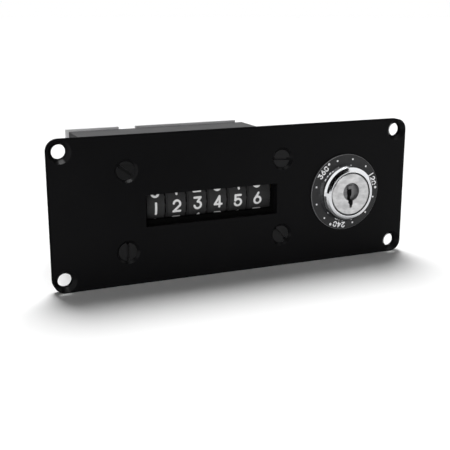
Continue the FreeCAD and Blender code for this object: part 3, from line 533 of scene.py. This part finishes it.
class COUNTER_OT_wheels(bpy.types.Operator):
    """Finish the number wheels and print their figures"""
    bl_idname = "counter.wheels"
    bl_label = "Number wheels"

    def execute(self, context):
        look = context.scene.counter_wheels
        plastic = finish_material("Wheel plastic", "Grain", look.drum, specular=0.35, amount=1.4,
                                  grain_scale=3200.0, patch_scale=800.0, roughness=0.6, bump=0.6,
                                  depth=0.00003)
        dress(plastic, *["number_wheel_" + str(number) for number in range(1, 7)])
        ink = finish_material("Figure print", "Grain", look.figure, specular=0.3, amount=0.18,
                              grain_scale=4000.0, patch_scale=500.0, roughness=0.6)
        unit = look.figure_height / FIGURE_GRID
        reach = WHEEL_RADIUS + WHEEL_LIFT
        for wheel in range(6):
            shown = wheel + 1
            points, faces = [], []
            for figure in range(10):
                flat = flat_figure(str(figure), look.stroke / 2 / unit)
                start = len(points)
                down = (figure - shown) * math.tau / 10
                for across, up in flat[0]:
                    angle = (up * unit + FIGURE_DRIFT[wheel]) / WHEEL_RADIUS - down
                    points.append((WHEEL_FIRST + wheel * WHEEL_PITCH + across * unit,
                                   WHEEL_AXIS[0] - reach * math.cos(angle),
                                   WHEEL_AXIS[1] + reach * math.sin(angle)))
                for face in flat[1]:
                    faces.append([start + corner for corner in face])
            name = "wheel_figures_" + str(shown)
            piece = piece_from(name, points, faces, ink, "wheel_" + str(shown), WHEEL_PRINT)
        return {"FINISHED"}


class COUNTER_OT_lock(bpy.types.Operator):
    """Finish the lock's bezel, plug, wafers, nut and gears"""
    bl_idname = "counter.lock"
    bl_label = "Lock"

    def out_of_axis(self, place):
        """Distance of a point from the lock's axis."""
        return math.hypot(place.x - LOCK_X, place.z - WHEEL_AXIS[1])

    def in_bore(self, place, normal):
        """Whether a face is a wall of the barrel's bore."""
        return self.out_of_axis(place) < BORE_RADIUS and abs(normal.y) < 0.5

    def in_keyhole(self, place, normal):
        """Whether a face lies in the plug's recess or keyway, behind its front."""
        behind_front = KEYHOLE_DEPTH[0] < place.y < KEYHOLE_DEPTH[1]
        return behind_front and self.out_of_axis(place) < KEYHOLE_REACH

    def execute(self, context):
        look = context.scene.counter_lock
        inside = context.scene.counter_inside
        dress(finish_material("Chrome", "Grain", look.chrome, metallic=1.0, amount=0.05, grain_scale=900.0,
                              patch_scale=120.0, roughness=0.11, bump=0.02), "lock_barrel")
        # The bore's walls get the near-black bore colour instead of chrome, as painted shade in the gap round
        # the plug.
        dress_faces("lock_barrel", finish_material("Barrel bore shade", "Grain", look.bore_shade, roughness=0.6,
                                                   bump=0.1), self.in_bore)
        dress(finish_material("Brushed plug", "Brushed lines", look.plug, metallic=1.0, amount=1.1,
                              stretch=(330.0, 80.0, 620.0), roughness=0.34, bump=0.15, rounding=0.00012),
              "lock_plug")
        # Painted shade: the plug's faces in its recess and keyway are coloured darker than the rest of the
        # plug.
        dress_faces("lock_plug", finish_material("Keyhole shade", "Brushed lines", look.keyhole_shade, metallic=1.0,
                                                 amount=0.8, roughness=0.45, bump=0.2), self.in_keyhole)
        dress(finish_material("Brass", "Brushed lines", inside.brass, metallic=1.0, amount=0.4,
                              roughness=0.32), "plug_gear", "shaft_gear", "wall_bush", "shaft_bush_left",
              "shaft_bush_right", "pinion_spacers", "coil_terminals")
        dress(finish_material("Plated steel", "Brushed lines", inside.plated, metallic=1.0, amount=0.4,
                              roughness=0.34, rounding=0.00015), "lock_nut", "lock_washer",
              "plug_gear_screw", "shaft_gear_pin", "shaft_clip", "rear_cover_screws", "yoke_screws",
              "armature_pin", "armature_spring", "pinion_shaft", "reset_shaft", "mechanism_frame", "verge")
        # Steel wafers, coloured near black so that the keyway reads dark: partly painted shade.
        dress(finish_material("Dull steel and keyway shade", "Brushed lines", inside.wafer, metallic=1.0, amount=0.4,
                              roughness=0.5), "lock_wafers")
        return {"FINISHED"}


class COUNTER_OT_case(bpy.types.Operator):
    """Finish the case, its cover and the terminal block"""
    bl_idname = "counter.case"
    bl_label = "Case"

    def execute(self, context):
        look = context.scene.counter_case
        inside = context.scene.counter_inside
        moulded = {"grain_scale": 2600.0, "patch_scale": 70.0, "bump": 0.4, "depth": 0.00004}
        dress(finish_material("Grey plastic", "Grain", look.case, specular=0.1, amount=0.35, roughness=0.7,
                              rounding=0.0004, **moulded), "case_body")
        dress(finish_material("Light grey plastic", "Grain", look.cover, specular=0.35, amount=0.25,
                              roughness=0.5, rounding=0.0003, **moulded), "rear_cover")
        dress(finish_material("Black plastic", "Grain", inside.moulded, specular=0.3, amount=0.5,
                              roughness=0.5, rounding=0.0002), "terminal_block")
        dress(finish_material("Flocked black", "Grain", inside.flocked, specular=0.03, amount=0.5,
                              roughness=0.8), "window_mask")
        return {"FINISHED"}


class COUNTER_OT_mechanism(bpy.types.Operator):
    """Finish the magnet, the coil and the carry pinions"""
    bl_idname = "counter.mechanism"
    bl_label = "Mechanism"

    def execute(self, context):
        look = context.scene.counter_inside
        dress(finish_material("Soft iron", "Brushed lines", look.iron, metallic=1.0, amount=0.5,
                              roughness=0.45), "magnet_yoke", "magnet_core", "armature")
        dress(finish_material("Natural plastic", "Grain", look.natural, amount=0.2, roughness=0.45),
              "coil_bobbin", *["transfer_pinion_" + str(number) for number in range(1, 6)])
        dress(finish_material("Enamelled wire", "Brushed lines", look.wire, metallic=0.6, coat=0.5,
                              amount=0.6, stretch=(40.0, 6000.0, 40.0), roughness=0.3, bump=0.8,
                              depth=0.0001), "coil_winding")
        return {"FINISHED"}


class COUNTER_OT_stage(bpy.types.Operator):
    """Set up the floor, the lights and the camera"""
    bl_idname = "counter.stage"
    bl_label = "Stage"

    def execute(self, context):
        look = context.scene.counter_stage
        scene = context.scene
        scene.view_settings.view_transform = "Standard"
        world = scene.world or bpy.data.worlds.new("World")
        scene.world = world
        world.use_nodes = True
        tree = world.node_tree
        tree.nodes.clear()
        rays = tree.nodes.new("ShaderNodeLightPath")
        seen = math_node(tree, "MAXIMUM", rays.outputs["Is Camera Ray"], rays.outputs["Is Glossy Ray"])
        seen = math_node(tree, "MAXIMUM", seen, rays.outputs["Is Transmission Ray"])
        strength = math_node(tree, "MULTIPLY_ADD", seen, 1 - look.sky)
        strength.node.inputs[2].default_value = look.sky
        sky = tree.nodes.new("ShaderNodeBackground")
        sky.inputs["Color"].default_value = (1, 1, 1, 1)
        tree.links.new(strength, sky.inputs["Strength"])
        out = tree.nodes.new("ShaderNodeOutputWorld")
        tree.links.new(sky.outputs[0], out.inputs["Surface"])
        self.floor(scene)
        to_card = Vector(DOME_CARD_FROM_LOCK).normalized()
        self.card("black_card", Vector((LOCK_X, 0, 0)) + to_card * DOME_CARD_AWAY, to_card,
                  Vector(DOME_CARD_ALONG), DOME_CARD_HALF, 0)
        self.card("glint_card", Vector(GLINT_CARD_PLACE), Vector(GLINT_CARD_FACING),
                  Vector(GLINT_CARD_ALONG), GLINT_CARD_HALF, look.glint)
        self.sun("Key light", look.key, KEY_HEADING, KEY_SPREAD)
        self.sun("Fill light", look.fill, FILL_HEADING, FILL_SPREAD)
        camera = bpy.data.objects.new("Camera", bpy.data.cameras.new("Camera"))
        scene.collection.objects.link(camera)
        camera.data.sensor_width = 36
        camera.data.lens = look.lens
        camera.data.clip_start = 0.01
        camera.location = CAMERA_PLACE
        ahead = Vector((math.sin(look.turn) * math.cos(look.tilt), math.cos(look.turn) * math.cos(look.tilt),
                        -math.sin(look.tilt)))
        camera.rotation_euler = ahead.to_track_quat("-Z", "Y").to_euler()
        scene.camera = camera
        return {"FINISHED"}

    def floor(self, scene):
        """A white disc under the part, plain for every ray but the camera's."""
        mesh = bpy.data.meshes.new("floor")
        shaped = bmesh.new()
        bmesh.ops.create_circle(shaped, cap_ends=True, segments=64, radius=FLOOR_RADIUS)
        shaped.to_mesh(mesh)
        shaped.free()
        floor = bpy.data.objects.new("floor", mesh)
        floor.location = (0, 0, CAD_BOX[0][2])
        scene.collection.objects.link(floor)
        material = bpy.data.materials.new("Floor")
        material.use_nodes = True
        tree = material.node_tree
        tree.nodes.clear()
        rays = tree.nodes.new("ShaderNodeLightPath")
        plain = tree.nodes.new("ShaderNodeBsdfDiffuse")
        plain.inputs["Color"].default_value = (0.75, 0.75, 0.75, 1)
        bright = tree.nodes.new("ShaderNodeBsdfDiffuse")
        bright.inputs["Color"].default_value = (1, 1, 1, 1)
        mix = tree.nodes.new("ShaderNodeMixShader")
        tree.links.new(rays.outputs["Is Camera Ray"], mix.inputs[0])
        tree.links.new(plain.outputs[0], mix.inputs[1])
        tree.links.new(bright.outputs[0], mix.inputs[2])
        out = tree.nodes.new("ShaderNodeOutputMaterial")
        tree.links.new(mix.outputs[0], out.inputs["Surface"])
        mesh.materials.append(material)

    def card(self, name, centre, facing, along, half_size, glow):
        """A studio card that only reflections see, black or glowing."""
        half_long, half_wide = half_size
        mesh = bpy.data.meshes.new(name)
        mesh.from_pydata([(-half_long, -half_wide, 0), (half_long, -half_wide, 0), (half_long, half_wide, 0),
                          (-half_long, half_wide, 0)], [], [(0, 1, 2, 3)])
        facing = facing.normalized()
        across = facing.cross(along).normalized()
        card = bpy.data.objects.new(name, mesh)
        card.matrix_world = (Matrix.Translation(centre)
                             @ Matrix((across.cross(facing), across, facing)).transposed().to_4x4())
        card.visible_camera = card.visible_diffuse = card.visible_shadow = card.visible_transmission = False
        material = bpy.data.materials.new(name)
        material.use_nodes = True
        shader = material.node_tree.nodes["Principled BSDF"]
        shader.inputs["Base Color"].default_value = (0, 0, 0, 1)
        shader.inputs["Specular IOR Level"].default_value = 0
        shader.inputs["Emission Color"].default_value = (1, 1, 1, 1)
        shader.inputs["Emission Strength"].default_value = glow
        mesh.materials.append(material)
        bpy.context.scene.collection.objects.link(card)

    def sun(self, name, strength, heading, spread):
        """A distant lamp that shines along a heading."""
        lamp = bpy.data.lights.new(name, "SUN")
        lamp.energy = strength
        lamp.angle = spread
        holder = bpy.data.objects.new(name, lamp)
        holder.rotation_euler = Vector(heading).to_track_quat("-Z", "Y").to_euler()
        bpy.context.scene.collection.objects.link(holder)


class COUNTER_PT_panel(bpy.types.Panel):
    """Buttons for each group of pieces"""
    bl_idname = "COUNTER_PT_panel"
    bl_label = "Panel counter"
    bl_space_type = "VIEW_3D"
    bl_region_type = "UI"
    bl_category = "Counter"

    def draw(self, context):
        for operator in OPERATORS:
            self.layout.operator(operator.bl_idname)


LOOKS = (("counter_plate", PlateLook), ("counter_wheels", WheelLook), ("counter_lock", LockLook),
         ("counter_case", CaseLook), ("counter_inside", InsideLook), ("counter_stage", StageLook))
OPERATORS = (COUNTER_OT_plate, COUNTER_OT_dial_marks, COUNTER_OT_wheels, COUNTER_OT_lock, COUNTER_OT_case,
             COUNTER_OT_mechanism, COUNTER_OT_stage)


def register():
    for name, look in LOOKS:
        bpy.utils.register_class(look)
        setattr(bpy.types.Scene, name, bpy.props.PointerProperty(type=look))
    for operator in OPERATORS:
        bpy.utils.register_class(operator)
    bpy.utils.register_class(COUNTER_PT_panel)


def unregister():
    bpy.utils.unregister_class(COUNTER_PT_panel)
    for operator in reversed(OPERATORS):
        bpy.utils.unregister_class(operator)
    for name, look in reversed(LOOKS):
        delattr(bpy.types.Scene, name)
        bpy.utils.unregister_class(look)


def main():
    register()
    bpy.ops.counter.plate()
    bpy.ops.counter.dial_marks()
    bpy.ops.counter.wheels()
    bpy.ops.counter.lock()
    bpy.ops.counter.case()
    bpy.ops.counter.mechanism()
    bpy.ops.counter.stage()


if __name__ == "__main__":
    main()
